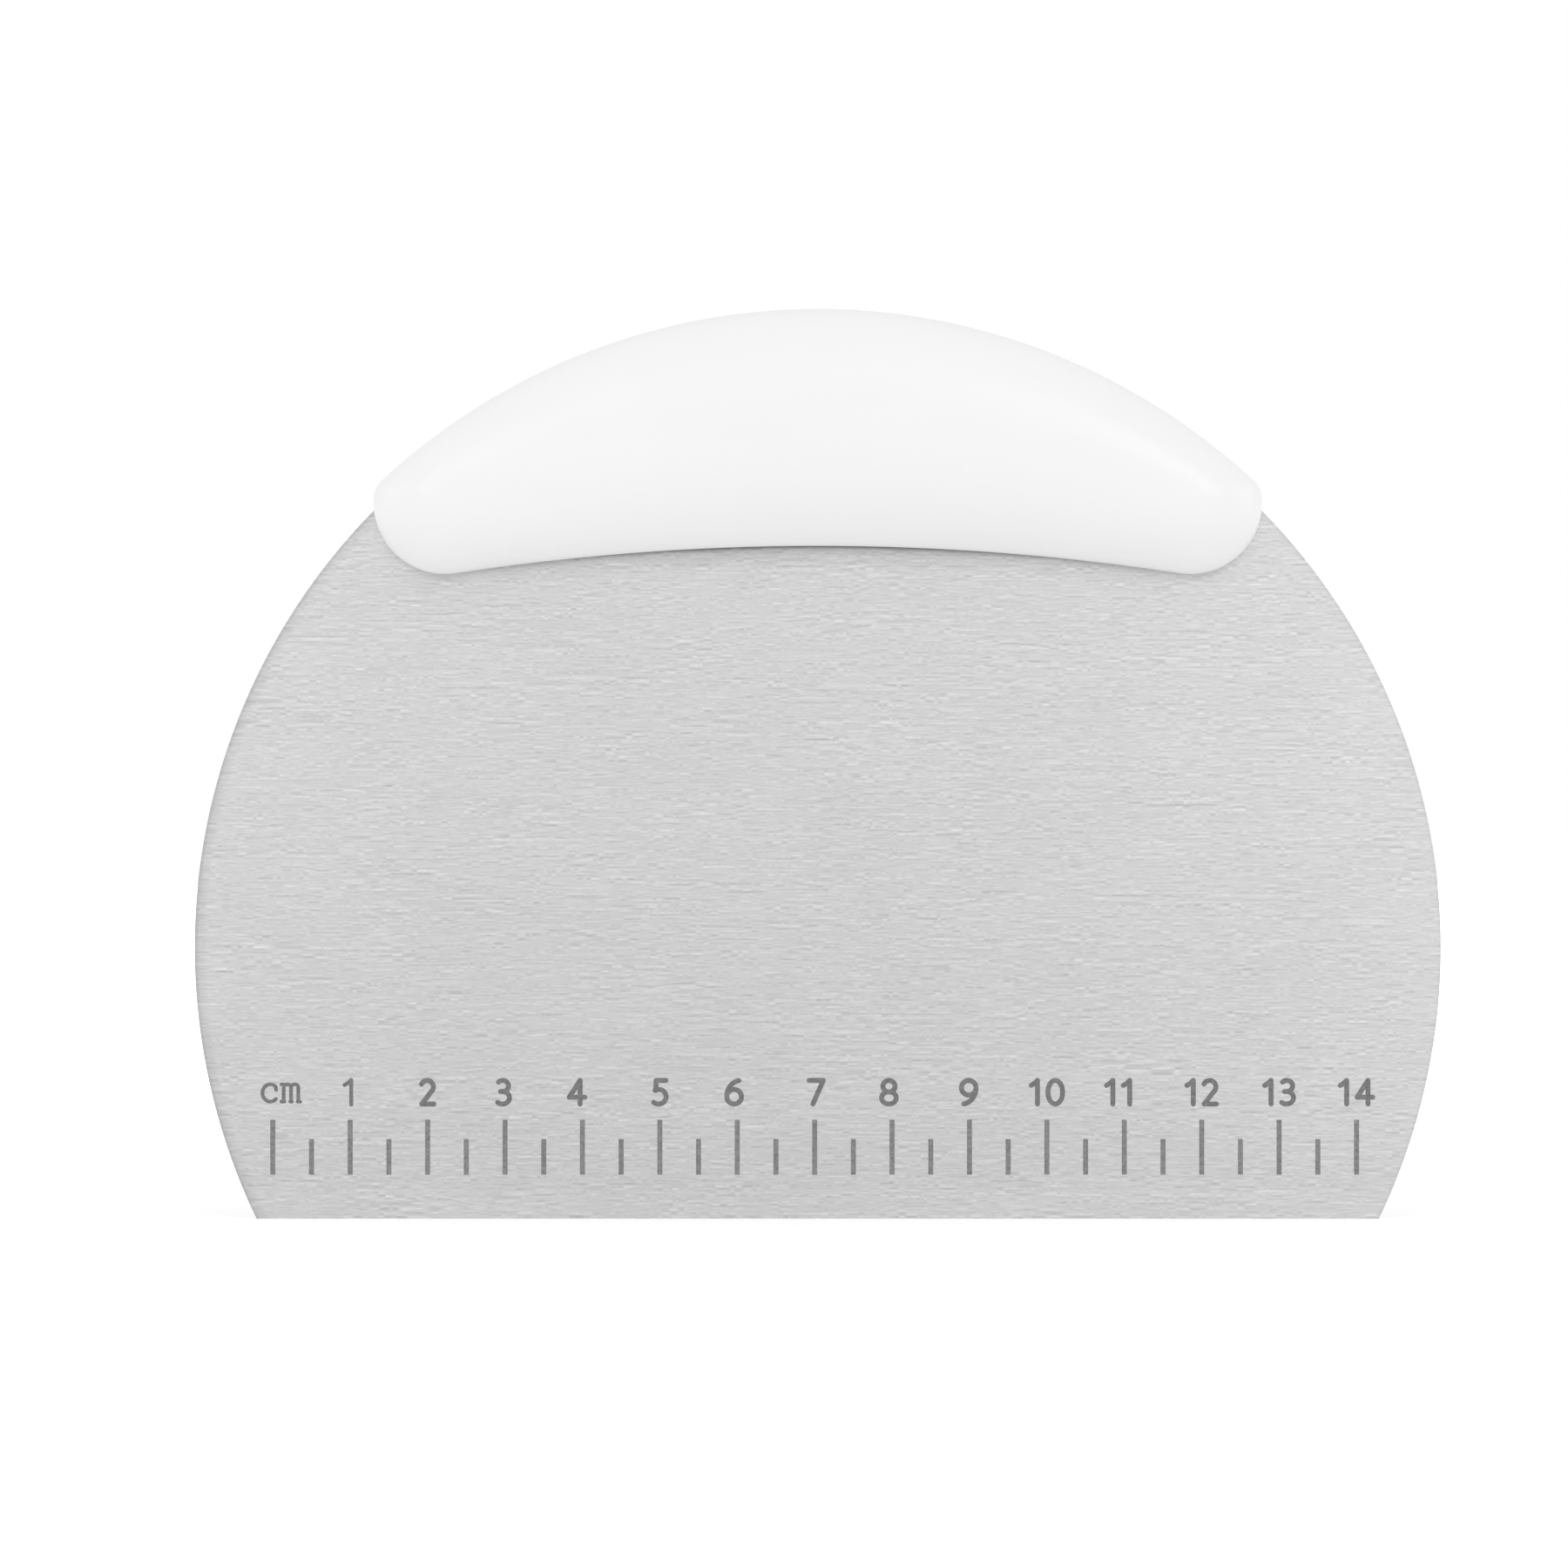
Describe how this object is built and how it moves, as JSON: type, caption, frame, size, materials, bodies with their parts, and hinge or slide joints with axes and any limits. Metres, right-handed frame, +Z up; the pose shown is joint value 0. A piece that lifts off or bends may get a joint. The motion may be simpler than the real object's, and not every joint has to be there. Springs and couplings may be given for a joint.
{
  "type": "dough cutter",
  "caption": "Half-round brushed steel dough cutter with an etched centimetre scale above its straight cutting edge and a white crescent handle over its round top.",
  "frame": {"origin": "middle of the cutting edge, at the bottom of the part", "axes": "+X along the cutting edge to the right as seen from the scale side, +Y through the thickness towards the plain rear face, +Z up from the cutting edge to the handle"},
  "size_m": [0.161, 0.014, 0.1175],
  "materials": {
    "blade": "fine horizontal brushing, parallel to the cutting edge",
    "handle": "smooth satin moulded white plastic",
    "etched_marks": "dark matt etch in the scale's lines and numerals"
  },
  "bodies": {
    "root": {"blade": "blade", "handle_front": "handle", "handle_rear": "handle"}
  },
  "joints": []
}
